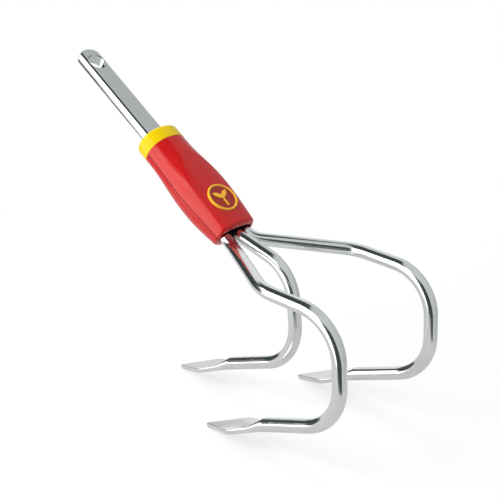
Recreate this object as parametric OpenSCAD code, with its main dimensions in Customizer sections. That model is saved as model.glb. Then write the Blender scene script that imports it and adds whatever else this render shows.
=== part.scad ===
// Three-tine cultivator head with a quick-change tang.
// Every piece is drawn in the handle frame: X runs along the handle axis towards the tines, Y across,
// Z towards the badge, and zero is on the axis at the mouth of the sleeve.
// stand() then tips that frame until the three points share the floor.

/* [Tine bar] */
// Diameter of the round bar that the tines are bent from
tine_d = 8; // [6:0.5:10]
// Gap between neighbouring shanks inside the sleeve
shank_gap = 0.2; // [0.1:0.05:0.5]
// Length of the shanks behind the mouth, back to the weld
shank_len = 40; // [30:1:46]
// Distance between the two outer points
spread = 83.4; // [70:0.5:100]

/* [Side tines] */
// Place ahead of the mouth where a side tine leaves the handle axis
side_start = 9.6; // [8:0.2:14]
// Rise of the two upper runs above the handle axis, in degrees
side_rise = 31.7; // [25:0.1:38]
// Splayed upper run, as long as it looks from the side
side_splay_run = 54.1; // [45:0.5:65]
// Straight upper run ahead of the splay
side_reach_run = 52.3; // [44:0.5:65]
// Fall of the front run below the handle axis, in degrees
side_drop = 52.5; // [45:0.5:60]
// Length of the front run
side_drop_run = 59.1; // [54:0.5:75]
// Length of the lower leg, from the bend's corner to the point
side_leg_run = 104.7; // [90:0.5:120]

/* [Centre tine] */
// Place ahead of the mouth where the centre tine starts to rise
centre_start = 1.2; // [0.5:0.1:3]
// Rise of the upper run above the handle axis, in degrees
centre_rise = 18.7; // [12:0.1:25]
// Length of the upper run
centre_rise_run = 48.3; // [40:0.5:60]
// Fall of the front run below the handle axis, in degrees
centre_drop = 50.2; // [44:0.5:58]
// Length of the front run
centre_drop_run = 55.6; // [50:0.5:70]
// Length of the lower leg, from the bend's corner to the point
centre_leg_run = 105.8; // [90:0.5:120]

/* [Bends] */
// Direction of all lower legs below the handle axis, in degrees
leg_turn = 125.2; // [118:0.5:130]
// Radius of the first bend, at the mouth
mouth_bend_r = 17; // [12:0.5:18]
// Radius of the bend where the splay ends
splay_bend_r = 28.9; // [20:0.5:36]
// Radius of the upper bend of each hook
top_bend_r = 27; // [20:0.5:30]
// Radius of the lower bend of each hook
low_bend_r = 30.6; // [22:0.5:34]

/* [Blades] */
// Length of the forged flat, from the round bar to the point
blade_len = 50.5; // [40:0.5:60]
// Width across the two corners
blade_w = 19.7; // [14:0.1:26]
// Length of the pointed part, from the corners to the point
blade_point_len = 25.7; // [18:0.1:32]
// Thickness of the flat
blade_t = 2.9; // [2:0.1:4]
// Width left at the very point
blade_tip_w = 1.6; // [0.8:0.1:4]
// Length over which the bar is forged down to the flat
blade_forge_len = 13; // [8:0.5:20]
// How far the middle of the flat lies below the middle of the bar
blade_drop = 1.25; // [0:0.05:2]

/* [Tang] */
// Width of the flat tang
tang_w = 14.4; // [13.4:0.1:18]
// Thickness of the tang
tang_t = 7.2; // [5:0.1:8]
// Length of the tang from the weld to its end
tang_len = 119; // [100:1:140]
// Radius of the rounded end, seen from above
tang_end_r = 8.5; // [7.5:0.1:14]
// Rounding of the long edges
tang_edge_r = 0.8; // [0.3:0.1:1.5]
// Diameter of the lock hole
lock_hole_d = 12.2; // [8:0.1:12.6]
// Middle of the lock hole, from the end of the tang
lock_hole_from_end = 12.4; // [10:0.2:30]

/* [Sleeve] */
// Length of the sleeve behind the mouth, up to the collar
sleeve_back = 68.8; // [60:0.5:80]
// How far the sleeve's nose reaches ahead of the mouth
sleeve_nose = 3; // [2:0.1:4]
// Wall beside the opening at the mouth
mouth_wall = 1.8; // [1.7:0.1:2.4]
// Roof over the opening at the mouth, before the thumb panel is cut
mouth_roof = 7.4; // [6.6:0.1:8]
// Floor under the opening at the mouth
mouth_floor = 5.5; // [4:0.1:6.5]
// Room over and under the shanks in the opening
mouth_head = 1.6; // [1:0.1:2]
// Depth of the opening behind the mouth
mouth_depth = 9; // [4:0.5:14]
// How much each side swells out past the mouth
belly_side = 1.8; // [0:0.1:4]
// How much the top swells out past the mouth
belly_top = 3.5; // [2.8:0.1:5]
// How much the bottom swells out past the mouth
belly_bottom = 3.9; // [2.5:0.1:6]
// Place of the widest section, behind the mouth
belly_side_back = 33; // [25:1:45]
// Place of the tallest section, behind the mouth
belly_top_back = 21; // [15:1:30]
// Where the top and bottom start to swell, behind the mouth
swell_back = 64; // [54:1:68]
// How much wider each side is at the collar than at the mouth
collar_end_side = 0.1; // [0:0.1:2]
// How much lower the top is at the collar than at the mouth
collar_end_drop = 0.6; // [0.2:0.1:1]
// Rounding of the nose
nose_r = 1.5; // [0.4:0.1:1.6]
// How far the nose is cut back under the shanks, in degrees
nose_undercut = 7; // [0:1:14]
// Height of the thumb panel over the axis, at its highest
panel_h = 12.8; // [12.2:0.1:13.4]
// Place of that highest line, behind the mouth
panel_back = 58; // [50:1:64]
// Radius of the panel's lengthwise crown
panel_crown_r = 850; // [700:10:1200]
// Radius of its crown across
panel_cross_r = 60; // [45:1:90]

/* [Pegs] */
// Diameter of the pegs that line up the two shells
peg_d = 3.2; // [2:0.1:4]
// Height of the pegs over the parting plane
peg_h = 4; // [2:0.2:5]
// Distance of the outer pegs from the collar end
peg_inset = 6; // [4:0.5:9]
// Distance between the pegs along the handle
peg_pitch = 15; // [8:0.5:17]

/* [Collar] */
// Length of the collar along the handle
collar_len = 10; // [7:0.5:14]
// How far the collar stands out past the sleeve
collar_step = 0.1; // [0:0.05:0.6]
// Rounding of its edge on the tang side
collar_r = 2.6; // [1:0.1:4]

/* [Badge] */
// Middle of the badge, behind the mouth
badge_back = 16.8; // [15:0.2:26]
// Diameter of the badge over its ring
badge_d = 19.8; // [14:0.2:20.4]
// Width of the ring
badge_ring_w = 1.5; // [1:0.1:2.5]
// Depth of the round seat in the panel
badge_seat = 1.2; // [1:0.1:1.5]
// How far the ring stands out of the panel
badge_ring_out = 0.3; // [0.2:0.1:1]
// How far the plate lies below the panel
badge_plate_in = 0.3; // [0.1:0.1:0.4]
// Height of the raised sprout on the plate
sprout_h = 0.5; // [0.2:0.1:1]
// Length of each leaf of the sprout
leaf_len = 7.8; // [5:0.1:8]
// Radius of the curve that bounds a leaf
leaf_r = 5.6; // [4.6:0.1:8]
// Spread of each leaf from the stem, in degrees
leaf_spread = 52; // [35:1:60]
// How far a leaf reaches into the stem
leaf_seat = 0.9; // [0.6:0.1:1.2]
// Width of the stem
stem_w = 1.3; // [0.8:0.1:2]
// Length of the stem
stem_len = 6.4; // [4:0.1:7]

/* [Fits] */
// Gap between the metal and the plastic round it
fit_gap = 0.15; // [0.05:0.05:0.3]
// Gap beside the outer shanks in the opening
slot_gap = 0.3; // [0.1:0.05:0.6]

/* [Hidden] */

// Cuts run past the faces that they open
over = 2;
round_fn = 96;

// Shanks
shank_pitch = tine_d + shank_gap;
shank_half_span = shank_pitch + tine_d / 2;
// Weld beads lie in the grooves between the shanks
weld_r_share = 0.22;
weld_height_share = 0.27;
weld_floor_share = 0.22;
weld_len_share = 0.5;
weld_r = tine_d * weld_r_share;
weld_height = tine_d * weld_height_share;
weld_floor = tine_d * weld_floor_share;
weld_len = shank_len * weld_len_share;

// Corners of the tines' centre lines
function heading(angle) = [cos(angle), 0, sin(angle)];
side_path = let (
    back = [-shank_len, shank_pitch, 0],
    start = [side_start, shank_pitch, 0],
    splayed = start + side_splay_run * heading(side_rise) + [0, spread / 2 - shank_pitch, 0],
    top = splayed + side_reach_run * heading(side_rise),
    low = top + side_drop_run * heading(-side_drop),
    flat = low + (side_leg_run - blade_len) * heading(-leg_turn))
    [back, start, splayed, top, low, flat];
centre_path = let (
    back = [-shank_len, 0, 0],
    start = [centre_start, 0, 0],
    top = start + centre_rise_run * heading(centre_rise),
    low = top + centre_drop_run * heading(-centre_drop),
    flat = low + (centre_leg_run - blade_len) * heading(-leg_turn))
    [back, start, top, low, flat];
side_bends = [mouth_bend_r, splay_bend_r, top_bend_r, low_bend_r];
centre_bends = [mouth_bend_r, top_bend_r, low_bend_r];

// The three points rest on the floor: their lower edges give the lean of the handle
blade_run = blade_len * heading(-leg_turn) + (blade_drop + blade_t / 2) * heading(90 - leg_turn);
side_foot = side_path[len(side_path) - 1] + blade_run;
centre_foot = centre_path[len(centre_path) - 1] + blade_run;
lean = atan((centre_foot.z - side_foot.z) / (centre_foot.x - side_foot.x));
function stood(p) = [p.x * cos(lean) + p.z * sin(lean), p.y, p.z * cos(lean) - p.x * sin(lean)];
hook_mid = bend_centre(side_path[3], side_path[4], side_path[5], low_bend_r);
front_x = stood(hook_mid).x + low_bend_r + tine_d / 2;
back_x = stood([-shank_len - tang_len, 0, -tang_t / 2]).x;
floor_z = stood(side_foot).z;

// Sleeve sections
slot_half_w = shank_half_span + slot_gap;
slot_half_h = tine_d / 2 + mouth_head;
mouth_half_w = slot_half_w + mouth_wall;
section_power = 2.2;
section_steps = 24;
flank_steps = 12;
panel_steps = 10;
sleeve_steps = 20;
nose_steps = 4;
collar_steps = 6;
function ease(t) = (1 - cos(180 * max(0, min(1, t)))) / 2;
function sleeve_half_w(back) = mouth_half_w + (back < belly_side_back
    ? belly_side * ease((back + sleeve_nose) / (belly_side_back + sleeve_nose))
    : collar_end_side + (belly_side - collar_end_side)
        * ease((sleeve_back - back) / (sleeve_back - belly_side_back)));
// Each half by its height at the mouth and what it gains by the belly and by the collar
upper_half = [slot_half_h + mouth_roof, belly_top, -collar_end_drop];
lower_half = [slot_half_h + mouth_floor, belly_bottom, 0];
function sleeve_half_h(back, half) = half[0] + (back < belly_top_back
    ? half[1] * sin(90 * (back + sleeve_nose) / (belly_top_back + sleeve_nose))
    : half[2] + (half[1] - half[2]) * ease((swell_back - back) / (swell_back - belly_top_back)));
// A point of a rounded section, by its angle from the side; a power of 2 makes an ellipse
function section_point(half_w, half_h, angle, power) = let (c = cos(angle), s = sin(angle))
    [half_w * sign(c) * pow(abs(c), 2 / power), half_h * sign(s) * pow(abs(s), 2 / power)];

// Thumb panel, crowned lengthwise and across; it cuts the upper half along two creases
function panel_z(back, y) = let (
    reach = panel_crown_r - panel_cross_r + sqrt(pow(panel_cross_r, 2) - pow(y, 2)))
    panel_h - panel_crown_r + sqrt(pow(reach, 2) - pow(back - panel_back, 2));
// Angle of the crease in a section, found by halving; behind the panel it stays at the last one
crease_last = 84;
crease_rounds = 24;
function crease(back, half_w, half_h, inset, low = 0, high = crease_last, rounds = crease_rounds) = let (
    middle = (low + high) / 2,
    p = section_point(half_w, half_h, middle, section_power))
    rounds < 1 ? middle
    : p.y > panel_z(back, p.x) - inset
        ? crease(back, half_w, half_h, inset, low, middle, rounds - 1)
        : crease(back, half_w, half_h, inset, middle, high, rounds - 1);

// Badge seat
badge_tilt = asin((panel_back - badge_back) / panel_crown_r);
badge_r = badge_d / 2;
plate_r = badge_r - badge_ring_w;
plate_t = badge_seat - badge_plate_in;

// Pegs stand midway between the tang and the sleeve's side
peg_y = (tang_w / 2 + mouth_half_w) / 2;
peg_backs = [sleeve_back - peg_inset, sleeve_back - peg_inset - peg_pitch];

// Vectors and frames
function unit(v) = v / norm(v);
function turn_angle(a, b, c) = acos(unit(b - a) * unit(c - b));
function bend_reach(a, b, c, r) = r * tan(turn_angle(a, b, c) / 2);
function bend_centre(a, b, c, r) = let (
    along = unit(b - a),
    inward = unit(unit(c - b) - along * (unit(c - b) * along)))
    b - along * bend_reach(a, b, c, r) + inward * r;

// Tips the handle frame on to the floor, with zero under the middle of the object
module stand() {
    translate([-(front_x + back_x) / 2, 0, -floor_z])
        rotate([0, lean, 0])
            children();
}

// Joins closed rings of points into one skin with flat ends
module skin(rings) {
    sides = len(rings[0]);
    last = len(rings) - 1;
    polyhedron(
        points = [for (ring = rings) each ring],
        faces = [
            [for (i = [0 : sides - 1]) i],
            for (k = [0 : last - 1], i = [0 : sides - 1])
                let (j = (i + 1) % sides, a = k * sides, b = a + sides)
                each [[a + i, b + i, b + j], [a + i, b + j, a + j]],
            [for (i = [sides - 1 : -1 : 0]) last * sides + i]]);
}

// A tine is one skin of rings: each ring lies square to the centre line
bar_sides = 28;
bend_step = 8;
flat_power = 9;
blade_steps = 12;
blade_widen_len = blade_len - blade_point_len;
function tine_ring(p, along, half_w, half_t, power) = let (
    across = unit([0, 1, 0] - along * along.y),
    down = cross(along, across))
    [for (i = [0 : bar_sides - 1])
        let (q = section_point(half_w, half_t, 360 * i / bar_sides, power))
        p + q.x * across + q.y * down];
function bar_ring(p, along) = tine_ring(p, along, tine_d / 2, tine_d / 2, 2);

// The bend at corner b of the path a, b, c
function bend_rings(a, b, c, r) = let (
    along = unit(b - a),
    centre = bend_centre(a, b, c, r),
    outward = unit(b - along * bend_reach(a, b, c, r) - centre),
    turn = turn_angle(a, b, c),
    steps = ceil(turn / bend_step))
    [for (k = [0 : steps])
        let (angle = turn * k / steps)
        bar_ring(centre + r * (cos(angle) * outward + sin(angle) * along),
                 cos(angle) * along - sin(angle) * outward)];

// The forged blade starts as the round bar and ends as a pointed flat
function blade_half_w(x) = x < blade_widen_len
    ? tine_d / 2 + (blade_w - tine_d) / 2 * ease(x / blade_widen_len)
    : blade_w / 2 - (blade_w - blade_tip_w) / 2 * (x - blade_widen_len) / blade_point_len;
function blade_ring(flat, x) = let (
    forged = ease(x / blade_forge_len),
    half_t = tine_d / 2 + (blade_t - tine_d) / 2 * forged,
    power = 2 + (flat_power - 2) * forged,
    middle = flat + x * heading(-leg_turn) + blade_drop * forged * heading(90 - leg_turn))
    tine_ring(middle, heading(-leg_turn), blade_half_w(x), half_t, power);

// A whole tine along a path, with one bend radius for each inner corner
module tine(path, bends) {
    last = len(path) - 1;
    skin(concat(
        [bar_ring(path[0], unit(path[1] - path[0]))],
        [for (i = [1 : last - 1]) each bend_rings(path[i - 1], path[i], path[i + 1], bends[i - 1])],
        [for (k = [0 : blade_steps]) blade_ring(path[last], blade_widen_len * k / blade_steps)],
        [blade_ring(path[last], blade_len)]));
}

// A section of one half, drawn upwards: a flank, the roof with any panel, and the other flank
// The lower half's sections lean back from the collar to the undercut nose
function half_ring(back, inset, half) = let (
    half_w = sleeve_half_w(back) - inset,
    half_h = sleeve_half_h(back, half) - inset,
    panelled = half == upper_half,
    last = panelled ? crease(back, half_w, half_h, inset) : crease_last,
    lean_back = panelled ? 0 : tan(nose_undercut) * (sleeve_back - back) / (sleeve_back + sleeve_nose),
    flank = [for (i = [0 : flank_steps])
        section_point(half_w, half_h, last * i / flank_steps, section_power)],
    edge_y = flank[flank_steps].x,
    roof = [for (i = [1 : panel_steps - 1])
        let (
            y = edge_y * (1 - 2 * i / panel_steps),
            z = half_h * pow(1 - pow(abs(y) / half_w, section_power), 1 / section_power))
        [y, panelled ? min(z, panel_z(back, y) - inset) : z]],
    mirrored = [for (i = [flank_steps : -1 : 0]) [-flank[i].x, flank[i].y]])
    [for (p = concat(flank, roof, mirrored)) [-back - lean_back * p.y, p.x, p.y]];

// One half of the sleeve's outside, drawn upwards, with its rounded nose
module sleeve_half(half) {
    body_len = sleeve_back + sleeve_nose - nose_r;
    skin(concat(
        [for (k = [0 : sleeve_steps]) half_ring(sleeve_back - body_len * k / sleeve_steps, 0, half)],
        [for (k = [1 : nose_steps])
            let (angle = 90 * k / nose_steps)
            half_ring(nose_r * (1 - sin(angle)) - sleeve_nose, nose_r * (1 - cos(angle)), half)]));
}

// A slot with round ends along the handle, for the shanks
module shank_slot(half_w, half_h, from_x, to_x) {
    translate([from_x, 0, 0])
        rotate([90, 0, 90])
            linear_extrude(to_x - from_x) {
                square([2 * (half_w - half_h), 2 * half_h], center = true);
                for (side = [-1, 1])
                    translate([side * (half_w - half_h), 0])
                        circle(half_h, $fn = round_fn);
            }
}

// What both shells leave free inside: the tang's slot, the shanks' slot and the opening
module sleeve_hollow() {
    translate([-sleeve_back - over, -tang_w / 2 - fit_gap, -tang_t / 2])
        cube([sleeve_back + over - shank_len, tang_w + 2 * fit_gap, tang_t]);
    shank_slot(shank_half_span + fit_gap, tine_d / 2 + fit_gap, -shank_len, sleeve_nose + over);
    shank_slot(slot_half_w, slot_half_h, -mouth_depth, sleeve_nose + over);
}

module pegs(d, h) {
    for (back = peg_backs, side = [-1, 1])
        translate([-back, side * peg_y, 0])
            cylinder(d = d, h = h, $fn = round_fn);
}

// Frame of the badge: zero in the middle of the panel's surface, Z out of it
module at_badge() {
    translate([-badge_back, 0, panel_z(badge_back, 0)])
        rotate([0, badge_tilt, 0])
            children();
}

module tang() {
    core_w = tang_w - 2 * tang_edge_r;
    core_t = tang_t - 2 * tang_edge_r;
    end_reach = tang_end_r - sqrt(pow(tang_end_r, 2) - pow(tang_w / 2, 2));
    color("silver") stand() difference() {
        intersection() {
            translate([-shank_len, 0, 0])
                rotate([90, 0, -90])
                    linear_extrude(tang_len) {
                        square([tang_w, core_t], center = true);
                        square([core_w, tang_t], center = true);
                        for (x = [-1, 1], y = [-1, 1])
                            translate([x * core_w / 2, y * core_t / 2])
                                circle(tang_edge_r, $fn = round_fn);
                    }
            translate([-shank_len - tang_len, 0, -tang_t])
                linear_extrude(2 * tang_t) {
                    translate([end_reach, -tang_w])
                        square([tang_len - end_reach + over, 2 * tang_w]);
                    translate([tang_end_r, 0])
                        circle(tang_end_r, $fn = 2 * round_fn);
                }
        }
        translate([lock_hole_from_end - shank_len - tang_len, 0, -tang_t])
            cylinder(d = lock_hole_d, h = 2 * tang_t, $fn = round_fn);
    }
}

module centre_tine() {
    color("silver") stand() tine(centre_path, centre_bends);
}

module left_tine() {
    color("silver") stand() tine(side_path, side_bends);
}

module right_tine() {
    color("silver") stand() mirror([0, 1, 0]) tine(side_path, side_bends);
}

// Weld metal in the grooves between the shanks, above and below
module tine_welds() {
    color("dimgray") stand()
        for (side = [-1, 1], face = [0, 1])
            mirror([0, 0, face])
                difference() {
                    intersection() {
                        translate([-shank_len, side * shank_pitch / 2, weld_height])
                            rotate([0, 90, 0])
                                cylinder(r = weld_r, h = weld_len, $fn = round_fn);
                        translate([-shank_len, side * shank_pitch / 2 - weld_r, weld_floor])
                            cube([weld_len, 2 * weld_r, 2 * weld_r]);
                    }
                    for (y = [0, side * shank_pitch])
                        translate([-shank_len - over, y, 0])
                            rotate([0, 90, 0])
                                cylinder(d = tine_d, h = weld_len + 2 * over, $fn = round_fn);
                }
}

module upper_shell() {
    color("crimson") stand() difference() {
        sleeve_half(upper_half);
        sleeve_hollow();
        translate([0, 0, -over])
            pegs(peg_d + 2 * fit_gap, peg_h + fit_gap + over);
        at_badge()
            translate([0, 0, -badge_seat])
                cylinder(r = badge_r + fit_gap, h = badge_seat + over, $fn = round_fn);
    }
}

module lower_shell() {
    color("crimson") stand() {
        difference() {
            mirror([0, 0, 1]) sleeve_half(lower_half);
            sleeve_hollow();
        }
        translate([0, 0, -peg_h])
            pegs(peg_d, 2 * peg_h);
    }
}

module collar_ring() {
    end_half_w = sleeve_half_w(sleeve_back) + collar_step;
    top_h = sleeve_half_h(sleeve_back, upper_half) + collar_step;
    bottom_h = sleeve_half_h(sleeve_back, lower_half) + collar_step;
    function ring(back, inset) = [for (i = [0 : 2 * section_steps - 1])
        let (p = section_point(end_half_w - inset, (i < section_steps ? top_h : bottom_h) - inset,
                               180 * i / section_steps, section_power))
        [-back, p.x, p.y]];
    color("gold") stand() difference() {
        skin(concat(
            [for (k = [0 : collar_steps])
                let (angle = 90 * k / collar_steps)
                ring(sleeve_back + collar_len - collar_r * (1 - cos(angle)), collar_r * (1 - sin(angle)))],
            [ring(sleeve_back, 0)]));
        translate([-sleeve_back - collar_len - over, -tang_w / 2 - fit_gap, -tang_t / 2 - fit_gap])
            cube([collar_len + 2 * over, tang_w + 2 * fit_gap, tang_t + 2 * fit_gap]);
    }
}

module badge_plate() {
    color("darkred") stand() at_badge()
        translate([0, 0, -badge_seat])
            cylinder(r = plate_r, h = plate_t, $fn = round_fn);
}

module badge_ring() {
    ring_h = badge_seat + badge_ring_out;
    color("gold") stand() at_badge()
        translate([0, 0, -badge_seat])
            rotate_extrude($fn = round_fn)
                translate([plate_r, 0]) {
                    square([badge_ring_w, ring_h - badge_ring_w / 2]);
                    translate([badge_ring_w / 2, ring_h - badge_ring_w / 2])
                        circle(badge_ring_w / 2, $fn = round_fn);
                }
}

// A plain sprout: a stem with two leaves, each the overlap of two circles
module badge_sprout() {
    leaf_offset = sqrt(pow(leaf_r, 2) - pow(leaf_len / 2, 2));
    color("gold") stand() at_badge()
        translate([0, 0, plate_t - badge_seat])
            linear_extrude(sprout_h) {
                translate([0, -stem_w / 2])
                    square([stem_len, stem_w]);
                for (side = [-1, 1])
                    rotate(180 - side * leaf_spread)
                        translate([leaf_len / 2 - leaf_seat, 0])
                            intersection_for(edge = [-1, 1])
                                translate([0, edge * leaf_offset])
                                    circle(leaf_r, $fn = round_fn);
            }
}

tang();
centre_tine();
left_tine();
right_tine();
tine_welds();
upper_shell();
lower_shell();
collar_ring();
badge_plate();
badge_ring();
badge_sprout();
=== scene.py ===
"""Looks of the three-tine cultivator head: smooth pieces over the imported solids, a studio and the camera."""
import math

import bmesh
import bpy
from mathutils import Matrix, Vector

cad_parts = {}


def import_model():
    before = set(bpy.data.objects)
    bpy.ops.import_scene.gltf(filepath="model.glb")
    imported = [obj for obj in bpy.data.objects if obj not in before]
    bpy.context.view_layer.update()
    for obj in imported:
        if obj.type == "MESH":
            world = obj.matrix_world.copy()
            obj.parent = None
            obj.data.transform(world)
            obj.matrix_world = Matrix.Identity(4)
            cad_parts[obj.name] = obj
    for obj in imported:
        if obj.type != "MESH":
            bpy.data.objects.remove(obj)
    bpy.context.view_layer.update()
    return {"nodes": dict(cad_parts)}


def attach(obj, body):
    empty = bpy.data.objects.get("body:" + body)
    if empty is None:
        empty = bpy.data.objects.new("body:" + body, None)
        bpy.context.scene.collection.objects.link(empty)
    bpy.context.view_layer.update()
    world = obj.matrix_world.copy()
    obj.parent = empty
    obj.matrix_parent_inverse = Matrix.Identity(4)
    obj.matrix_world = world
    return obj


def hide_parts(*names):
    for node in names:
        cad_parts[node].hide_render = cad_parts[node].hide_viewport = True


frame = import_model()
scene = bpy.context.scene

MM = 0.001

# Sizes in millimetres and degrees, as the solids have them
TINE_D = 8.0
SHANK_GAP = 0.2
SHANK_LEN = 40.0
SPREAD = 83.4
SIDE_START = 9.6
SIDE_RISE = 31.7
SIDE_SPLAY_RUN = 54.1
SIDE_REACH_RUN = 52.3
SIDE_DROP = 52.5
SIDE_DROP_RUN = 59.1
SIDE_LEG_RUN = 104.7
CENTRE_START = 1.2
CENTRE_RISE = 18.7
CENTRE_RISE_RUN = 48.3
CENTRE_DROP = 50.2
CENTRE_DROP_RUN = 55.6
CENTRE_LEG_RUN = 105.8
LEG_TURN = 125.2
MOUTH_BEND_R = 17.0
SPLAY_BEND_R = 28.9
TOP_BEND_R = 27.0
LOW_BEND_R = 30.6
BLADE_LEN = 50.5
BLADE_W = 19.7
BLADE_POINT_LEN = 25.7
BLADE_T = 2.9
BLADE_TIP_W = 1.6
BLADE_FORGE_LEN = 13.0
BLADE_DROP = 1.25
TANG_W = 14.4
TANG_T = 7.2
TANG_LEN = 119.0
TANG_END_R = 8.5
LOCK_HOLE_D = 12.2
LOCK_HOLE_FROM_END = 12.4
SLEEVE_BACK = 68.8
SLEEVE_NOSE = 3.0
MOUTH_ROOF = 7.4
MOUTH_FLOOR = 5.5
MOUTH_HEAD = 1.6
MOUTH_DEPTH = 9.0
BELLY_TOP = 3.5
BELLY_BOTTOM = 3.9
BELLY_SIDE_BACK = 33.0
BELLY_TOP_BACK = 21.0
SWELL_BACK = 64.0
COLLAR_END_DROP = 0.6
NOSE_R = 1.5
NOSE_UNDERCUT = 7.0
PANEL_H = 12.8
PANEL_BACK = 58.0
PANEL_CROWN_R = 850.0
PANEL_CROSS_R = 60.0
COLLAR_LEN = 10.0
COLLAR_STEP = 0.1
COLLAR_R = 2.6
BADGE_BACK = 16.8
BADGE_D = 19.8
BADGE_RING_W = 1.5
BADGE_SEAT = 1.2
BADGE_RING_OUT = 0.3
BADGE_PLATE_IN = 0.3
SPROUT_H = 0.5
LEAF_LEN = 7.8
LEAF_R = 5.6
LEAF_SPREAD = 52.0
LEAF_SEAT = 0.9
STEM_W = 1.3
STEM_LEN = 6.4
FIT_GAP = 0.15
SLOT_GAP = 0.3
OVER = 2.0
SECTION_POWER = 2.2

# Values of the looks alone: softer edges, a slightly fuller nose, the panel's step, the seam, and the hollow
# over the shanks, and how far painted shade darkens the shells inside the mouth and along the seam
BLADE_EDGE_R = 0.45
TANG_EDGE_R = 1.6
LOCK_HOLE_RIM = 0.35
MOUTH_WALL = 2.2
MOUTH_LIP = 2.0
RECESS_DEPTH = 20.0
# Painted shade inside the mouth reaches up to this height
PAINTED_SHADE_TOP = 9.5
BELLY_SIDE = 1.5
COLLAR_END_SIDE = -0.3
NOSE_DROP = 2.0
PANEL_SOFT = 1.0
PANEL_SOFT_NOSE = 3.2
PANEL_STEP = 0.3
PANEL_STEP_RUN = 0.4
SEAM_R = 0.45
SEAM_IN = 0.6
# The seam's bottom gets painted shade, a darker red standing in for the shade in the gap between the halves:
# its half height and its share
SEAM_PAINTED_SHADE_BAND = 0.24
SEAM_PAINTED_SHADE_SHARE = 0.8
COLLAR_FOOT_R = 0.3
SPROUT_EDGE = 0.22
SPROUT_SINK = 0.05

SHANK_PITCH = TINE_D + SHANK_GAP
SHANK_HALF_SPAN = SHANK_PITCH + TINE_D / 2
SLOT_HALF_W = SHANK_HALF_SPAN + SLOT_GAP
SLOT_HALF_H = TINE_D / 2 + MOUTH_HEAD
MOUTH_HALF_W = SLOT_HALF_W + MOUTH_WALL
# Each half of the sleeve by its height at the mouth and what it gains by the belly and by the collar
UPPER = (SLOT_HALF_H + MOUTH_ROOF, BELLY_TOP, -COLLAR_END_DROP)
LOWER = (SLOT_HALF_H + MOUTH_FLOOR, BELLY_BOTTOM, 0.0)
BLADE_WIDEN_LEN = BLADE_LEN - BLADE_POINT_LEN
BADGE_R = BADGE_D / 2
PLATE_R = BADGE_R - BADGE_RING_W
PLATE_T = BADGE_SEAT - BADGE_PLATE_IN


def ease(t):
    return (1 - math.cos(math.pi * max(0.0, min(1.0, t)))) / 2


def heading(degrees):
    return Vector((math.cos(math.radians(degrees)), 0, math.sin(math.radians(degrees))))


def quarter_turn(steps):
    return [math.pi / 2 * k / steps for k in range(steps + 1)]


def full_turn(steps):
    return [2 * math.pi * k / steps for k in range(steps)]


# Corners of the tines' centre lines in the handle frame: X along the handle, Z towards the badge
def side_path():
    start = Vector((SIDE_START, SHANK_PITCH, 0))
    splayed = start + SIDE_SPLAY_RUN * heading(SIDE_RISE) + Vector((0, SPREAD / 2 - SHANK_PITCH, 0))
    top = splayed + SIDE_REACH_RUN * heading(SIDE_RISE)
    low = top + SIDE_DROP_RUN * heading(-SIDE_DROP)
    flat = low + (SIDE_LEG_RUN - BLADE_LEN) * heading(-LEG_TURN)
    return [Vector((-SHANK_LEN, SHANK_PITCH, 0)), start, splayed, top, low, flat]


def centre_path():
    start = Vector((CENTRE_START, 0, 0))
    top = start + CENTRE_RISE_RUN * heading(CENTRE_RISE)
    low = top + CENTRE_DROP_RUN * heading(-CENTRE_DROP)
    flat = low + (CENTRE_LEG_RUN - BLADE_LEN) * heading(-LEG_TURN)
    return [Vector((-SHANK_LEN, 0, 0)), start, top, low, flat]


def bend_at(a, b, c, r):
    """Centre, outward and along directions and turn of the bend at corner b."""
    along = (b - a).normalized()
    ahead = (c - b).normalized()
    turn = along.angle(ahead)
    first = b - along * r * math.tan(turn / 2)
    inward = (ahead - along * along.dot(ahead)).normalized()
    return first + inward * r, -inward, along, turn


# The three points rest on the floor, which gives the lean of the handle and the place of its zero
blade_run = BLADE_LEN * heading(-LEG_TURN) + (BLADE_DROP + BLADE_T / 2) * heading(90 - LEG_TURN)
side_foot = side_path()[-1] + blade_run
centre_foot = centre_path()[-1] + blade_run
lean = math.atan((centre_foot.z - side_foot.z) / (centre_foot.x - side_foot.x))
tip_over = Matrix.Rotation(lean, 3, 'Y')
hook_mid = bend_at(*side_path()[3:6], LOW_BEND_R)[0]
front_x = (tip_over @ hook_mid).x + LOW_BEND_R + TINE_D / 2
back_x = (tip_over @ Vector((-SHANK_LEN - TANG_LEN, 0, -TANG_T / 2))).x
handle_zero = Vector((-(front_x + back_x) / 2, 0, -(tip_over @ side_foot).z))
handle_x = tip_over @ Vector((1, 0, 0))
handle_z = tip_over @ Vector((0, 0, 1))


def stand(p):
    return (tip_over @ Vector(p) + handle_zero) * MM


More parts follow.
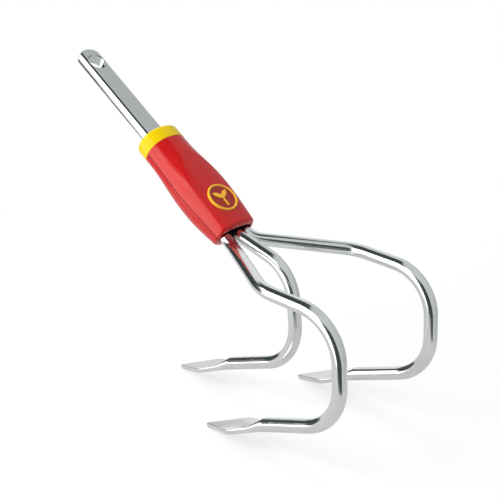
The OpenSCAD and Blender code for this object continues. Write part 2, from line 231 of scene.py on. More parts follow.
# Materials
class Graph:
    """A node tree with short calls for numbers, colours and links."""

    def __init__(self, tree):
        self.tree = tree
        tree.nodes.clear()

    def put(self, socket, value):
        if isinstance(value, bpy.types.NodeSocket):
            self.tree.links.new(value, socket)
        else:
            socket.default_value = value

    def node(self, kind, inputs=None, **settings):
        made = self.tree.nodes.new(kind)
        for key, value in settings.items():
            setattr(made, key, value)
        for key, value in (inputs or {}).items():
            self.put(made.inputs[key], value)
        return made

    def math(self, operation, *values):
        made = self.node('ShaderNodeMath', operation=operation)
        for socket, value in zip(made.inputs, values):
            self.put(socket, value)
        return made.outputs[0]

    def ramp(self, value, low, high, to_low=0.0, to_high=1.0):
        made = self.node('ShaderNodeMapRange', {0: value, 1: low, 2: high, 3: to_low, 4: to_high},
                         interpolation_type='SMOOTHSTEP')
        return made.outputs[0]

    def mix(self, share, a, b):
        made = self.node('ShaderNodeMix', {0: share, 6: a, 7: b}, data_type='RGBA')
        return made.outputs[2]

    def noise(self, place, scale, detail, rough=0.5):
        inputs = {'Vector': place, 'Scale': scale, 'Detail': detail, 'Roughness': rough}
        return self.node('ShaderNodeTexNoise', inputs).outputs['Fac']

    def bump(self, height, strength, distance):
        inputs = {'Height': height, 'Strength': strength, 'Distance': distance}
        return self.node('ShaderNodeBump', inputs).outputs['Normal']


def material(name):
    made = bpy.data.materials.new(name)
    made.use_nodes = True
    return made, Graph(made.node_tree)


def surface(g, **inputs):
    named = {key.replace('_', ' '): value for key, value in inputs.items()}
    shader = g.node('ShaderNodeBsdfPrincipled', named)
    g.node('ShaderNodeOutputMaterial', {'Surface': shader.outputs[0]})


PATCH_LOW = 0.3
PATCH_HIGH = 0.75
CHROME_WORN = 0.95
# Painted shade: a near-black red that stands in for the shade inside the sleeve's mouth and in the seam's gap
PAINTED_SHADE_ATTRIBUTE = 'hollow'
PAINTED_SHADE_COLOUR = (0.024, 0.010, 0.010, 1)


def chrome(name, colour, smooth, dull):
    """Polished chrome plate: faint waviness of the drawn bar and hazy handling marks."""
    made, g = material(name)
    place = g.node('ShaderNodeTexCoord').outputs['Object']
    haze = g.noise(place, scale=90.0, detail=3.0)
    fine = g.math('MULTIPLY', g.noise(place, scale=700.0, detail=2.0), 0.02)
    rough = g.math('ADD', g.ramp(haze, 0.35, 0.7, smooth, dull), fine)
    wave = g.bump(g.noise(place, scale=60.0, detail=1.0), strength=0.04, distance=0.001)
    worn = tuple(CHROME_WORN * c for c in colour)
    tint = g.mix(g.ramp(haze, PATCH_LOW, PATCH_HIGH), colour + (1,), worn + (1,))
    surface(g, Base_Color=tint, Metallic=1.0, Roughness=rough, Normal=wave)
    return made


def plastic(name, colour, deep, rough_low, rough_high, specular):
    """Moulded plastic: a fine grain, slow colour drift and a soft gloss; marked faces take painted shade, a
    near-black red for the shade inside the mouth and in the seam.
    """
    made, g = material(name)
    place = g.node('ShaderNodeTexCoord').outputs['Object']
    drift = g.noise(place, scale=45.0, detail=2.0)
    grain = g.noise(place, scale=2600.0, detail=2.0, rough=0.6)
    patches = g.noise(place, scale=160.0, detail=3.0)
    tint = g.mix(g.ramp(drift, PATCH_LOW, PATCH_HIGH), colour + (1,), deep + (1,))
    # Painted shade: marked faces of the shells turn near-black red where shade falls inside the mouth and in
    # the seam
    hollow = g.node('ShaderNodeAttribute', attribute_name=PAINTED_SHADE_ATTRIBUTE).outputs['Fac']
    tint = g.mix(hollow, tint, PAINTED_SHADE_COLOUR)
    rough = g.ramp(patches, PATCH_LOW, PATCH_HIGH, rough_low, rough_high)
    fine = g.bump(grain, strength=0.06, distance=0.0002)
    surface(g, Base_Color=tint, Roughness=rough, Normal=fine, Specular_IOR_Level=specular)
    return made


def weld(name):
    """Dull weld metal with a rippled bead."""
    made, g = material(name)
    place = g.node('ShaderNodeTexCoord').outputs['Object']
    scale = g.noise(place, scale=320.0, detail=4.0)
    tint = g.mix(scale, (0.30, 0.29, 0.28, 1), (0.46, 0.45, 0.44, 1))
    rough = g.ramp(scale, 0.2, 0.8, to_low=0.4, to_high=0.65)
    ripple = g.bump(scale, strength=0.4, distance=0.0004)
    surface(g, Base_Color=tint, Metallic=1.0, Roughness=rough, Normal=ripple)
    return made


CHROME = chrome('chrome plate', (0.80, 0.815, 0.82), 0.12, 0.17)
SATIN = chrome('chrome plate on the flat bar', (0.60, 0.625, 0.625), 0.09, 0.14)
RED = plastic('red moulding', (0.565, 0.0045, 0.006), (0.535, 0.004, 0.005), 0.22, 0.27, 0.48)
YELLOW = plastic('yellow moulding', (0.82, 0.595, 0.001), (0.79, 0.57, 0.001), 0.2, 0.26, 0.24)
AMBER = plastic('amber print', (1.0, 0.50, 0.010), (0.97, 0.48, 0.008), 0.28, 0.36, 0.75)
BADGE = plastic('dark red field', (0.36, 0.020, 0.008), (0.32, 0.016, 0.006), 0.28, 0.36, 0.4)
WELD = weld('weld metal')


# Meshes
FLAT_ENOUGH = 0.9999


def loft(rings):
    """Vertices and faces of a closed skin over rings of points, each with as many points."""
    sides = len(rings[0])
    verts = [p for ring in rings for p in ring]
    faces = [tuple(range(sides))]
    for k in range(len(rings) - 1):
        a, b = k * sides, (k + 1) * sides
        for i in range(sides):
            j = (i + 1) % sides
            faces.append((a + i, a + j, b + j, b + i))
    last = (len(rings) - 1) * sides
    faces.append(tuple(last + i for i in reversed(range(sides))))
    return verts, faces


def mesh_of(name, verts, faces):
    mesh = bpy.data.meshes.new(name)
    mesh.from_pydata([stand(v) for v in verts], [], faces)
    work = bmesh.new()
    work.from_mesh(mesh)
    bmesh.ops.recalc_face_normals(work, faces=work.faces)
    work.to_mesh(mesh)
    work.free()
    return mesh


def combine(name, shapes, operation, solver):
    """The first shape joined with the others or less them, all given as vertices and faces."""
    objects = []
    for number, (verts, faces) in enumerate(shapes):
        label = f'{name}_work_{number}'
        made = bpy.data.objects.new(label, mesh_of(label, verts, faces))
        scene.collection.objects.link(made)
        objects.append(made)
    for other in objects[1:]:
        step = objects[0].modifiers.new('step', 'BOOLEAN')
        step.object = other
        step.operation = operation
        step.solver = solver
    shape = objects[0].evaluated_get(bpy.context.evaluated_depsgraph_get())
    mesh = bpy.data.meshes.new_from_object(shape)
    mesh.name = name
    for made in objects:
        work = made.data
        bpy.data.objects.remove(made)
        bpy.data.meshes.remove(work)
    return mesh


def carve(name, body, cutters):
    """The body less its cutters."""
    return combine(name, [body] + cutters, 'DIFFERENCE', 'MANIFOLD')


def piece(name, mesh, finish, node, sharp_degrees=30.0, flat_along=None):
    """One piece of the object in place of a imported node, with smooth faces between sharp edges."""
    made = bpy.data.objects.new(name, mesh)
    scene.collection.objects.link(made)
    mesh.materials.clear()
    mesh.materials.append(finish)
    for face in mesh.polygons:
        face.material_index = 0
        face.use_smooth = flat_along is None or abs(face.normal.dot(flat_along)) < FLAT_ENOUGH
    mesh.set_sharp_from_angle(angle=math.radians(sharp_degrees))
    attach(made, 'root')
    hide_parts(node)
    return made


# Tines
BAR_SIDES = 72
BEND_STEP = 3.0
BLADE_STEPS = 40
POINT_STEPS = 8
# The most of a half width or thickness that a rounded edge takes up
EDGE_SHARE = 0.8
# One in so many points of a quarter section lies on the upright wall
WALL_SHARE = 6
# Points within one in so many of a section's sides count as near its side
CORNER_SHARE = 6


def round_shape():
    return [Vector((math.cos(a), math.sin(a))) for a in full_turn(BAR_SIDES)]


def flat_shape(half_w, half_t):
    """A plate's section with rounded edges, from the middle of one edge and round."""
    r = min(BLADE_EDGE_R, half_w * EDGE_SHARE, half_t * EDGE_SHARE)
    quarter = BAR_SIDES // 4
    wall, arc = quarter // WALL_SHARE, quarter // 2
    top = quarter - wall - arc
    first = [Vector((half_w, (half_t - r) * k / wall)) for k in range(wall)]
    first += [Vector((half_w - r + r * math.cos(a), half_t - r + r * math.sin(a)))
              for a in quarter_turn(arc)[:-1]]
    first += [Vector(((half_w - r) * (1 - k / top), half_t)) for k in range(top)]
    upper_left = [Vector((-p.x, p.y)) for p in reversed(first[1:])]
    lower_left = [Vector((-p.x, -p.y)) for p in first[1:]]
    lower_right = [Vector((p.x, -p.y)) for p in reversed(first[1:])]
    upper = first + [Vector((0, half_t))] + upper_left
    return upper + [Vector((-half_w, 0))] + lower_left + [Vector((0, -half_t))] + lower_right


def ring_at(p, along, shape):
    across = (Vector((0, 1, 0)) - along * along.y).normalized()
    down = along.cross(across)
    return [p + q.x * across + q.y * down for q in shape]


def blade_half_w(x):
    if x < BLADE_WIDEN_LEN:
        return TINE_D / 2 + (BLADE_W - TINE_D) / 2 * ease(x / BLADE_WIDEN_LEN)
    return BLADE_W / 2 - (BLADE_W - BLADE_TIP_W) / 2 * (x - BLADE_WIDEN_LEN) / BLADE_POINT_LEN


def blade_ring(root, x):
    """The forged section at x from the blade's root, between the round bar and the flat plate."""
    forged = ease(x / BLADE_FORGE_LEN)
    half_w = blade_half_w(x)
    half_t = TINE_D / 2 + (BLADE_T - TINE_D) / 2 * forged
    shape = [Vector((half_w * r.x, half_t * r.y)).lerp(f, forged)
             for r, f in zip(round_shape(), flat_shape(half_w, half_t))]
    middle = root + x * heading(-LEG_TURN) + BLADE_DROP * forged * heading(90 - LEG_TURN)
    return ring_at(middle, heading(-LEG_TURN), shape)


def from_side(i):
    """Steps from a point of a section to the nearer of its two side points."""
    half = BAR_SIDES // 2
    return min(i % half, half - i % half)


def tine(name, path, bends, mirror=1):
    bar = [TINE_D / 2 * q for q in round_shape()]
    rings = [ring_at(path[0], (path[1] - path[0]).normalized(), bar)]
    for i, r in enumerate(bends, start=1):
        middle, outward, along, turn = bend_at(path[i - 1], path[i], path[i + 1], r)
        steps = math.ceil(math.degrees(turn) / BEND_STEP)
        for k in range(steps + 1):
            c, s = math.cos(turn * k / steps), math.sin(turn * k / steps)
            rings.append(ring_at(middle + r * (c * outward + s * along), c * along - s * outward, bar))
    root = path[-1]
    rings += [blade_ring(root, BLADE_WIDEN_LEN * k / BLADE_STEPS) for k in range(BLADE_STEPS + 1)]
    rings += [blade_ring(root, BLADE_WIDEN_LEN + BLADE_POINT_LEN * k / POINT_STEPS)
              for k in range(1, POINT_STEPS + 1)]
    verts, faces = loft(rings)
    verts = [Vector((p.x, mirror * p.y, p.z)) for p in verts]
    made = piece(name, mesh_of(name, verts, faces), CHROME, name)
    # The blade's two corners stay crisp on its upright walls
    corner = (len(rings) - 1 - POINT_STEPS) * BAR_SIDES
    for edge in made.data.edges:
        places = [v - corner for v in edge.vertices]
        on_corner = all(0 <= i < BAR_SIDES for i in places)
        if on_corner and min(from_side(i) for i in places) < BAR_SIDES // CORNER_SHARE:
            edge.use_edge_sharp = True


SIDE_BENDS = [MOUTH_BEND_R, SPLAY_BEND_R, TOP_BEND_R, LOW_BEND_R]
tine('centre_tine', centre_path(), [MOUTH_BEND_R, TOP_BEND_R, LOW_BEND_R])
tine('left_tine', side_path(), SIDE_BENDS)
tine('right_tine', side_path(), SIDE_BENDS, mirror=-1)


# Tang: a stack of outlines, drawn in at the rounded edges
TANG_ARC_STEPS = 48
EDGE_STEPS = 6
HOLE_SIDES = 96


def rounded_edge(r, z):
    """Insets and heights round an edge of radius r, from its face at height z down to its wall."""
    return [(r * (1 - math.sin(a)), z - r * (1 - math.cos(a))) for a in quarter_turn(EDGE_STEPS)]


def tang_outline(inset, z):
    half_w = TANG_W / 2 - inset
    end = -SHANK_LEN - TANG_LEN
    r = TANG_END_R - inset
    reach = math.asin(half_w / r)
    arc = [Vector((end + TANG_END_R - r * math.cos(a), r * math.sin(a), z))
           for a in (reach * (2 * k / TANG_ARC_STEPS - 1) for k in range(TANG_ARC_STEPS + 1))]
    return [Vector((-SHANK_LEN, -half_w, z))] + arc + [Vector((-SHANK_LEN, half_w, z))]


def tang_mesh():
    half_t = TANG_T / 2
    upper = rounded_edge(TANG_EDGE_R, half_t)
    levels = [(inset, -z) for inset, z in upper] + upper[::-1]
    hole = Vector((LOCK_HOLE_FROM_END - SHANK_LEN - TANG_LEN, 0, 0))
    flare = [(LOCK_HOLE_RIM + OVER, half_t + OVER)] + rounded_edge(LOCK_HOLE_RIM, half_t)
    profile = [(LOCK_HOLE_D / 2 + out, -z) for out, z in flare]
    profile += [(r, -z) for r, z in reversed(profile)]
    drill = [[hole + Vector((r * math.cos(a), r * math.sin(a), z)) for a in full_turn(HOLE_SIDES)]
             for r, z in profile]
    return carve('tang', loft([tang_outline(inset, z) for inset, z in levels]), [loft(drill)])


piece('tang', tang_mesh(), SATIN, 'tang', 25.0, handle_z)


# Sleeve
SECTION_STEPS = 75
SEAM_STEPS = 5
SLEEVE_STEPS = 96
NOSE_STEPS = 8
SLOT_STEPS = 32
BADGE_SIDES = 128
# Inner faces, which take painted shade, look towards the handle's axis or straight to the front, and lie
# behind the nose's end face
FACING_IN = -0.1
FACING_FRONT = 0.999
NOSE_SKIN = 0.05


def sleeve_half_w(back):
    if back < BELLY_SIDE_BACK:
        return MOUTH_HALF_W + BELLY_SIDE * ease((back + SLEEVE_NOSE) / (BELLY_SIDE_BACK + SLEEVE_NOSE))
    share = ease((SLEEVE_BACK - back) / (SLEEVE_BACK - BELLY_SIDE_BACK))
    return MOUTH_HALF_W + COLLAR_END_SIDE + (BELLY_SIDE - COLLAR_END_SIDE) * share


def sleeve_half_h(back, half):
    """Height of a half's rounded section; half holds its mouth height, its belly and its collar end."""
    mouth, belly, end = half
    if back < BELLY_TOP_BACK:
        share = (back + SLEEVE_NOSE) / (BELLY_TOP_BACK + SLEEVE_NOSE)
        return mouth + belly * math.sin(math.pi / 2 * share)
    return mouth + end + (belly - end) * ease((SWELL_BACK - back) / (SWELL_BACK - BELLY_TOP_BACK))


def panel_z(back, y=0.0):
    """The thumb panel, crowned a little both ways."""
    reach = PANEL_CROWN_R - PANEL_CROSS_R + math.sqrt(PANEL_CROSS_R ** 2 - y ** 2)
    return PANEL_H - PANEL_CROWN_R + math.sqrt(reach ** 2 - (back - PANEL_BACK) ** 2)


def section_point(half_w, half_h, angle):
    c, s = math.cos(angle), math.sin(angle)
    power = 2 / SECTION_POWER
    return Vector((math.copysign(half_w * abs(c) ** power, c), half_h * abs(s) ** power))


def soft_min(a, b, soft):
    """The lesser of two heights, with the corner between them rounded off."""
    h = max(0.0, min(1.0, 0.5 + (b - a) / (2 * soft)))
    return b + (a - b) * h - soft * h * (1 - h)


def half_section(back, inset, half):
    """A half's section, drawn upwards; its edges draw in where the halves meet."""
    drop = inset * (NOSE_DROP if half is UPPER else 1.0)
    half_w, half_h = sleeve_half_w(back) - inset, sleeve_half_h(back, half) - drop
    soft = PANEL_SOFT + (PANEL_SOFT_NOSE - PANEL_SOFT) * ease((PANEL_BACK - back) / PANEL_BACK)

    def angle_at(z):
        return math.asin((z / half_h) ** (SECTION_POWER / 2))

    first = angle_at(SEAM_R)
    angles = [angle_at(SEAM_R * k / SEAM_STEPS) for k in range(SEAM_STEPS)]
    angles += [first + (math.pi / 2 - first) * k / SECTION_STEPS for k in range(SECTION_STEPS + 1)]
    right = []
    for angle in angles:
        p = section_point(half_w, half_h, angle)
        if p.y < SEAM_R:
            p.x -= SEAM_IN * (1 - math.sqrt(1 - (1 - p.y / SEAM_R) ** 2))
        if half is UPPER:
            over = p.y - panel_z(back, p.x) + drop
            p.y = soft_min(p.y, p.y - over, soft) - PANEL_STEP * ease(over / PANEL_STEP_RUN)
        right.append(p)
    return right + [Vector((-p.x, p.y)) for p in reversed(right[:-1])]


def sleeve_half(half, up):
    """One half of the sleeve; the lower half's sections lean back from the collar to the undercut nose."""
    body_len = SLEEVE_BACK + SLEEVE_NOSE - NOSE_R
    stations = [(SLEEVE_BACK - body_len * k / SLEEVE_STEPS, 0.0) for k in range(SLEEVE_STEPS + 1)]
    for angle in quarter_turn(NOSE_STEPS)[1:]:
        back = NOSE_R * (1 - math.sin(angle)) - SLEEVE_NOSE
        stations.append((back, NOSE_R * (1 - math.cos(angle))))
    undercut = 0.0 if half is UPPER else math.tan(math.radians(NOSE_UNDERCUT))
    rings = []
    for back, inset in stations:
        lean_back = undercut * (SLEEVE_BACK - back) / (SLEEVE_BACK + SLEEVE_NOSE)
        section = half_section(back, inset, half)
        rings.append([Vector((-back - lean_back * p.y, p.x, up * p.y)) for p in section])
    return loft(rings)


def along_handle(outline, from_x, to_x):
    """A straight run of an outline, given as pairs of Y and Z."""
    return loft([[Vector((x, y, z)) for y, z in outline] for x in (from_x, to_x)])


def block(low, high):
    (x0, y0, z0), (x1, y1, z1) = low, high
    return along_handle([(y0, z0), (y1, z0), (y1, z1), (y0, z1)], x0, x1)


def slot(half_w, half_h, from_x):
    """A slot with round ends along the handle, open at the nose."""
    outline = [(side * (half_w - half_h) + half_h * math.cos(a), half_h * math.sin(a))
               for side, first in ((1, -math.pi / 2), (-1, math.pi / 2))
               for a in (first + math.pi * k / SLOT_STEPS for k in range(SLOT_STEPS + 1))]
    return along_handle(outline, from_x, SLEEVE_NOSE + OVER)


def mouth_recess():
    """The hollow above the shanks, inside the lip of the upper half's nose."""
    outline = [(p.x, p.y) for p in half_section(-SLEEVE_NOSE, MOUTH_LIP, UPPER)]
    outline = [(outline[0][0], -OVER)] + outline + [(outline[-1][0], -OVER)]
    return along_handle(outline, -RECESS_DEPTH, SLEEVE_NOSE + OVER)


def tang_slot():
    half_w, half_t = TANG_W / 2 + FIT_GAP, TANG_T / 2
    return block((-SLEEVE_BACK - OVER, -half_w, -half_t), (-SHANK_LEN, half_w, half_t))


badge_tilt = math.asin((PANEL_BACK - BADGE_BACK) / PANEL_CROWN_R)
badge_turn = Matrix.Rotation(badge_tilt, 3, 'Y')
badge_zero = Vector((-BADGE_BACK, 0, panel_z(BADGE_BACK)))


def on_badge(x, y, z):
    return badge_turn @ Vector((x, y, z)) + badge_zero


def lathe(profile):
    """Rings about the badge's axis, from pairs of radius and height."""
    return [[on_badge(r * math.cos(a), r * math.sin(a), z) for a in full_turn(BADGE_SIDES)]
            for r, z in profile]


def mark_painted_shade(mesh):
    """Marks a shell's inner faces and the bottom of its seam for painted shade, a dark colour in place of the
    shade that falls there.
    """
    inside = mesh.attributes.new(PAINTED_SHADE_ATTRIBUTE, 'FLOAT', 'FACE')
    upright = tip_over.inverted()
    for face, mark in zip(mesh.polygons, inside.data):
        p = upright @ (face.center / MM - handle_zero)
        n = upright @ face.normal
        facing_in = p.y * n.y + p.z * n.z < FACING_IN or n.x > FACING_FRONT
        inner = facing_in and p.x < SLEEVE_NOSE - NOSE_SKIN and p.z < PAINTED_SHADE_TOP
        mark.value = 1.0 if inner else SEAM_PAINTED_SHADE_SHARE if abs(p.z) < SEAM_PAINTED_SHADE_BAND else 0.0
    return mesh


seat = loft(lathe([(BADGE_R + FIT_GAP, -BADGE_SEAT), (BADGE_R + FIT_GAP, OVER)]))
shank_bore = slot(SHANK_HALF_SPAN + FIT_GAP, TINE_D / 2 + FIT_GAP, -SHANK_LEN - FIT_GAP)
hollows = [tang_slot(), shank_bore, slot(SLOT_HALF_W, SLOT_HALF_H, -MOUTH_DEPTH)]
upper_mesh = carve('upper_shell', sleeve_half(UPPER, 1), hollows + [mouth_recess(), seat])
lower_mesh = carve('lower_shell', sleeve_half(LOWER, -1), hollows)
# The shells' inner faces and seam carry painted shade
piece('upper_shell', mark_painted_shade(upper_mesh), RED, 'upper_shell', 32.0, handle_x)
piece('lower_shell', mark_painted_shade(lower_mesh), RED, 'lower_shell', 32.0, handle_x)


# Collar
COLLAR_SIDES = 192
COLLAR_EDGE_STEPS = 12
COLLAR_FOOT_STEPS = 6


def collar_mesh():
    half_w = sleeve_half_w(SLEEVE_BACK) + COLLAR_STEP
    top_h = sleeve_half_h(SLEEVE_BACK, UPPER) + COLLAR_STEP
    bottom_h = sleeve_half_h(SLEEVE_BACK, LOWER) + COLLAR_STEP
    end = SLEEVE_BACK + COLLAR_LEN
    stations = [(end - COLLAR_R * (1 - math.cos(a)), COLLAR_R * (1 - math.sin(a)))
                for a in quarter_turn(COLLAR_EDGE_STEPS)]
    stations.append((SLEEVE_BACK + COLLAR_LEN / 2, 0.0))
    stations += [(SLEEVE_BACK + COLLAR_FOOT_R * (1 - math.sin(a)), COLLAR_FOOT_R * (1 - math.cos(a)))
                 for a in quarter_turn(COLLAR_FOOT_STEPS)]
    rings = []
    for back, inset in stations:
        ring = []
        for i, angle in enumerate(full_turn(COLLAR_SIDES)):
            upper = i <= COLLAR_SIDES // 2
            p = section_point(half_w - inset, (top_h if upper else bottom_h) - inset, angle)
            ring.append(Vector((-back, p.x, p.y if upper else -p.y)))
        rings.append(ring)
    hole_w, hole_t = TANG_W / 2 + FIT_GAP, TANG_T / 2 + FIT_GAP
    hole = block((-end - OVER, -hole_w, -hole_t), (-SLEEVE_BACK + OVER, hole_w, hole_t))
    return carve('collar_ring', loft(rings), [hole])


piece('collar_ring', collar_mesh(), YELLOW, 'collar_ring', 32.0, handle_x)


# Badge
RING_STEPS = 16
LEAF_STEPS = 24
# Middle of a rounded edge, as a share of its radius
EDGE_MIDDLE = 0.3


def ring_mesh():
    half = BADGE_RING_W / 2
    profile = [(PLATE_R, -BADGE_SEAT)]
    profile += [(PLATE_R + half - half * math.cos(a), BADGE_RING_OUT - half + half * math.sin(a))
                for a in (math.pi * k / RING_STEPS for k in range(RING_STEPS + 1))]
    profile += [(BADGE_R, -BADGE_SEAT)]
    rings = lathe(profile)
    sides = BADGE_SIDES
    verts = [p for ring in rings for p in ring]
    faces = []
    for k in range(len(rings)):
        a, b = k * sides, (k + 1) % len(rings) * sides
        faces += [(a + i, a + (i + 1) % sides, b + (i + 1) % sides, b + i) for i in range(sides)]
    return mesh_of('badge_ring', verts, faces)


def plate_mesh():
    top = PLATE_T - BADGE_SEAT
    return mesh_of('badge_plate', *loft(lathe([(PLATE_R, -BADGE_SEAT), (PLATE_R, top)])))


leaf_offset = math.sqrt(LEAF_R ** 2 - (LEAF_LEN / 2) ** 2)
leaf_half_w = LEAF_R - leaf_offset


def leaf_outline():
    """One leaf about its middle, bounded by two arcs."""
    half = math.asin(LEAF_LEN / 2 / LEAF_R)
    arc = [Vector((LEAF_R * math.sin(a), LEAF_R * math.cos(a) - leaf_offset))
           for a in (half * (2 * k / LEAF_STEPS - 1) for k in range(LEAF_STEPS + 1))]
    return arc + [Vector((p.x, -p.y)) for p in reversed(arc[1:-1])]


def leaf_ring(turn, inset, z):
    share = 1 - inset / leaf_half_w
    c, s = math.cos(turn), math.sin(turn)
    ring = []
    for p in leaf_outline():
        x, y = p.x * share + LEAF_LEN / 2 - LEAF_SEAT, p.y * share
        ring.append(on_badge(x * c - y * s, x * s + y * c, z))
    return ring


def stem_ring(inset, z):
    w, first, last = STEM_W / 2 - inset, inset, STEM_LEN - inset
    return [on_badge(x, y, z) for x, y in ((first, -w), (last, -w), (last, w), (first, w))]


def sprout_mesh():
    base = PLATE_T - BADGE_SEAT
    top = base + SPROUT_H
    edge = SPROUT_EDGE * EDGE_MIDDLE
    levels = [(0.0, base - SPROUT_SINK), (0.0, top - SPROUT_EDGE), (edge, top - edge), (SPROUT_EDGE, top)]
    turns = [math.radians(180 - side * LEAF_SPREAD) for side in (-1, 1)]
    parts = [loft([leaf_ring(turn, inset, z) for inset, z in levels]) for turn in turns]
    parts.append(loft([stem_ring(inset, z) for inset, z in levels]))
    return combine('badge_sprout', parts, 'UNION', 'EXACT')


piece('badge_plate', plate_mesh(), BADGE, 'badge_plate', 32.0)
piece('badge_ring', ring_mesh(), AMBER, 'badge_ring', 40.0)
piece('badge_sprout', sprout_mesh(), AMBER, 'badge_sprout', 25.0)

welds = frame['nodes']['tine_welds']
welds.data.materials.clear()
welds.data.materials.append(WELD)

# Studio
WHITE = (1.0, 1.0, 1.0, 1)
AMBIENT = (0.50, 0.50, 0.50, 1)
WALL = (0.62, 0.64, 0.645, 1)
LOW_WALL = (0.49, 0.51, 0.515, 1)
HIGH_WALL = (0.68, 0.70, 0.705, 1)
BACK_WALL = (0.88, 0.895, 0.90, 1)
ZENITH = (0.60, 0.62, 0.625, 1)
FAR_FLOOR = (0.66, 0.68, 0.685, 1)
DARK = (0.050, 0.062, 0.063, 1)
SOFTBOX = (2.9, 2.85, 2.65, 1)

# Edges of what reflections show, in degrees about the object; in a pair, the second is the width of the
# soft border. A lean shifts an edge by so much for each degree of elevation
BOX_LEFT_LOW = 217.0
BOX_LEFT_HIGH = 204.0
BOX_STEP_FROM = 12.0
BOX_STEP_TO = 22.0
BOX_LEFT_SOFT = 5.0
BOX_RIGHT = (-88.0, 8.0)
BOX_BOTTOM = (-26.0, 10.0)
BOX_TOP = (44.0, 8.0)
CLOTH_LEFT = 153.0
CLOTH_LEAN = 1.4
CLOTH_LEAN_FROM = 16.0
CLOTH_LEFT_SOFT = 6.0
CLOTH_RIGHT = (222.0, 4.0)
CLOTH_BOTTOM = (-50.0, 10.0)
CLOTH_TOP = (54.0, 6.0)
GAP_LEFT = (-86.0, 4.0)
GAP_RIGHT = -28.0
GAP_LEAN = -0.45
GAP_RIGHT_SOFT = 8.0
GAP_BOTTOM = (-40.0, 6.0)
GAP_TOP = (37.0, 8.0)
LOW_LEFT = (20.0, 40.0)
LOW_RIGHT = (110.0, 14.0)
LOW_TOP = (10.0, 30.0)
BACK_LEFT = (116.0, 20.0)
BACK_TOP = (40.0, 14.0)
HIGH_BOTTOM = (44.0, 24.0)
ZENITH_BOTTOM = (74.0, 14.0)
FAR_FLOOR_TOP = (-26.0, 8.0)


def world():
    """White to the camera, a plain level to matt surfaces, and walls and a softbox to reflections."""
    made = bpy.data.worlds.new('studio')
    scene.world = made
    made.use_nodes = True
    made.cycles.sampling_method = 'NONE'
    g = Graph(made.node_tree)
    way = g.node('ShaderNodeSeparateXYZ', {0: g.node('ShaderNodeTexCoord').outputs['Generated']}).outputs
    az = g.math('DEGREES', g.math('ARCTAN2', way[1], way[0]))
    el = g.math('DEGREES', g.math('ARCSINE', way[2]))
    turn = g.math('FLOORED_MODULO', az, 360.0)

    def above(value, edge, soft):
        return g.ramp(g.math('SUBTRACT', value, edge), -soft / 2, soft / 2)

    def below(value, edge, soft):
        return g.ramp(g.math('SUBTRACT', value, edge), -soft / 2, soft / 2, 1.0, 0.0)

    def all_of(*shares):
        result = shares[0]
        for share in shares[1:]:
            result = g.math('MULTIPLY', result, share)
        return result

    def within(bottom, top):
        return g.math('MULTIPLY', above(el, *bottom), below(el, *top))

    # A softbox on the left, with dark cloth beside it and a dark gap between it and the wall
    box_left = g.ramp(el, BOX_STEP_FROM, BOX_STEP_TO, BOX_LEFT_LOW, BOX_LEFT_HIGH)
    softbox = all_of(above(turn, box_left, BOX_LEFT_SOFT), below(az, *BOX_RIGHT), within(BOX_BOTTOM, BOX_TOP))
    raised = g.math('MAXIMUM', g.math('SUBTRACT', el, CLOTH_LEAN_FROM), 0.0)
    cloth_left = g.math('MULTIPLY_ADD', raised, CLOTH_LEAN, CLOTH_LEFT)
    cloth = all_of(above(turn, cloth_left, CLOTH_LEFT_SOFT), below(turn, *CLOTH_RIGHT),
                   within(CLOTH_BOTTOM, CLOTH_TOP))
    gap_right = g.math('MULTIPLY_ADD', el, GAP_LEAN, GAP_RIGHT)
    gap = all_of(above(az, *GAP_LEFT), below(az, gap_right, GAP_RIGHT_SOFT), within(GAP_BOTTOM, GAP_TOP))
    low = all_of(above(az, *LOW_LEFT), below(az, *LOW_RIGHT), below(el, *LOW_TOP))
    back = all_of(above(az, *BACK_LEFT), below(el, *BACK_TOP))
    colour = g.mix(low, WALL, LOW_WALL)
    colour = g.mix(back, colour, BACK_WALL)
    colour = g.mix(above(el, *HIGH_BOTTOM), colour, HIGH_WALL)
    colour = g.mix(above(el, *ZENITH_BOTTOM), colour, ZENITH)
    colour = g.mix(below(el, *FAR_FLOOR_TOP), colour, FAR_FLOOR)
    colour = g.mix(g.math('MAXIMUM', gap, cloth), colour, DARK)
    colour = g.mix(softbox, colour, SOFTBOX)
    path = g.node('ShaderNodeLightPath').outputs
    seen = g.math('MAXIMUM', path['Is Glossy Ray'], path['Is Transmission Ray'])
    colour = g.mix(seen, AMBIENT, colour)
    colour = g.mix(path['Is Camera Ray'], colour, WHITE)
    shade = g.node('ShaderNodeBackground', {'Color': colour})
    g.node('ShaderNodeOutputWorld', {'Surface': shade.outputs[0]})


# Lamps, floor and flag in metres
LAMP_AIM = Vector((0, 0, 0.08))
LAMP_DISTANCE = 1.3


def lamp(name, az, el, size, watts):
    """A round lamp that looks at the object from an azimuth and an elevation; reflections don't show it."""
    data = bpy.data.lights.new(name, 'AREA')
    data.shape = 'DISK'
    data.size = size
    data.energy = watts
    made = bpy.data.objects.new(name, data)
    scene.collection.objects.link(made)
    a, e = math.radians(az), math.radians(el)
    way = Vector((math.cos(a) * math.cos(e), math.sin(a) * math.cos(e), math.sin(e)))
    made.location = way * LAMP_DISTANCE + LAMP_AIM
    made.rotation_euler = way.to_track_quat('Z', 'Y').to_euler()
    made.visible_glossy = False
    made.visible_camera = False


def sheet(name, points, finish):
    """A flat piece of the studio."""
    mesh = bpy.data.meshes.new(name)
    mesh.from_pydata(points, [], [tuple(range(len(points)))])
    mesh.materials.append(finish)
    made = bpy.data.objects.new(name, mesh)
    scene.collection.objects.link(made)
    return made


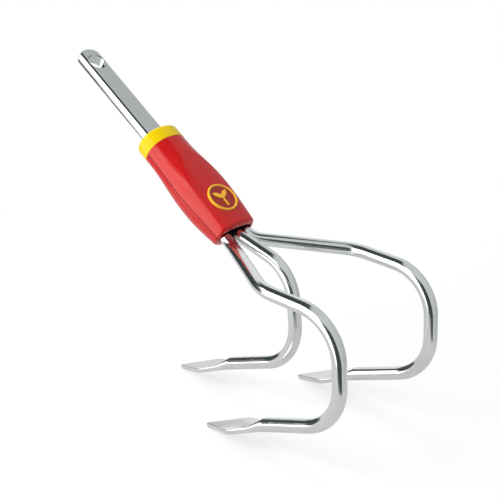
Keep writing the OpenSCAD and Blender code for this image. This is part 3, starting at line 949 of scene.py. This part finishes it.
FLOOR_R = 1.2
FLOOR_SIDES = 96
FLOOR_Z = -0.0002
FLOOR_PALE = (0.88, 0.88, 0.88, 1)
FLOOR_DIM = (0.30, 0.30, 0.30, 1)
CAMERA_GLOW = 0.70
MIRROR_GLOW = 0.38
TABLE_R = 0.32
TABLE_SOFT = 0.01
TABLE_X = -0.07
TABLE_Y = 0.04
SHADOW_FROM = 0.20
SHADOW_TO = 0.34


def floor():
    """A pale floor, white to the camera but for the shadows; reflections show it as far as a table's edge."""
    finish, g = material('pale floor')

    def join(kind, a, b, share=None):
        made = g.node(kind)
        if share is not None:
            g.put(made.inputs[0], share)
        g.put(made.inputs[-2], a)
        g.put(made.inputs[-1], b)
        return made.outputs[0]

    def glowing(strength):
        dim = g.node('ShaderNodeBsdfDiffuse', {'Color': FLOOR_DIM})
        glow = g.node('ShaderNodeEmission', {'Color': WHITE, 'Strength': strength})
        return join('ShaderNodeAddShader', dim.outputs[0], glow.outputs[0])

    lit = g.node('ShaderNodeBsdfDiffuse', {'Color': FLOOR_PALE}).outputs[0]
    clear = g.node('ShaderNodeBsdfTransparent').outputs[0]
    white = g.node('ShaderNodeEmission', {'Color': WHITE}).outputs[0]
    position = g.node('ShaderNodeNewGeometry').outputs['Position']
    place = g.node('ShaderNodeSeparateXYZ', {0: position}).outputs
    out_x = g.math('SUBTRACT', place[0], TABLE_X)
    out_y = g.math('SUBTRACT', place[1], TABLE_Y)
    squares = g.math('ADD', g.math('MULTIPLY', out_x, out_x), g.math('MULTIPLY', out_y, out_y))
    reach = g.math('SQRT', squares)
    past_table = g.ramp(reach, TABLE_R - TABLE_SOFT, TABLE_R + TABLE_SOFT)
    table = join('ShaderNodeMixShader', glowing(MIRROR_GLOW), clear, past_table)
    past_shadow = g.ramp(reach, SHADOW_FROM, SHADOW_TO)
    seen = join('ShaderNodeMixShader', glowing(CAMERA_GLOW), white, past_shadow)
    path = g.node('ShaderNodeLightPath').outputs
    look = join('ShaderNodeMixShader', lit, table, path['Is Glossy Ray'])
    look = join('ShaderNodeMixShader', look, seen, path['Is Camera Ray'])
    g.node('ShaderNodeOutputMaterial', {'Surface': look})
    rim = [(FLOOR_R * math.cos(a), FLOOR_R * math.sin(a), FLOOR_Z) for a in full_turn(FLOOR_SIDES)]
    disc = sheet('floor', rim, finish)


FLAG_Z = 0.45
FLAG_LOW = (-0.36, -0.38)
FLAG_HIGH = (0.04, 0.11)


def flag():
    """A dark cloth over the object, which only reflections show."""
    finish, g = material('dark cloth')
    shade = g.node('ShaderNodeEmission', {'Color': DARK})
    g.node('ShaderNodeOutputMaterial', {'Surface': shade.outputs[0]})
    (x0, y0), (x1, y1) = FLAG_LOW, FLAG_HIGH
    cloth = sheet('flag', [(x, y, FLAG_Z) for x, y in ((x0, y0), (x1, y0), (x1, y1), (x0, y1))], finish)
    cloth.visible_camera = False
    cloth.visible_diffuse = False
    cloth.visible_shadow = False


world()
floor()
flag()
lamp('key', az=-112, el=38, size=0.8, watts=12.3)
lamp('back', az=172, el=58, size=1.0, watts=6.0)

# Camera
CAMERA_AT = Vector((0.40574, -0.41555, 0.31388))
CAMERA_AZIMUTH = 132.777
CAMERA_DOWN = 20.742
CAMERA_ROLL = 0.064
LENS = 73.81
SENSOR = 36.0

camera_data = bpy.data.cameras.new('camera')
camera_data.lens = LENS
camera_data.sensor_width = SENSOR
camera = bpy.data.objects.new('camera', camera_data)
scene.collection.objects.link(camera)
camera.matrix_world = (Matrix.Translation(CAMERA_AT)
                       @ Matrix.Rotation(math.radians(CAMERA_AZIMUTH - 90), 4, 'Z')
                       @ Matrix.Rotation(math.radians(90 - CAMERA_DOWN), 4, 'X')
                       @ Matrix.Rotation(math.radians(CAMERA_ROLL), 4, 'Z'))
scene.camera = camera
scene.view_settings.view_transform = 'Standard'
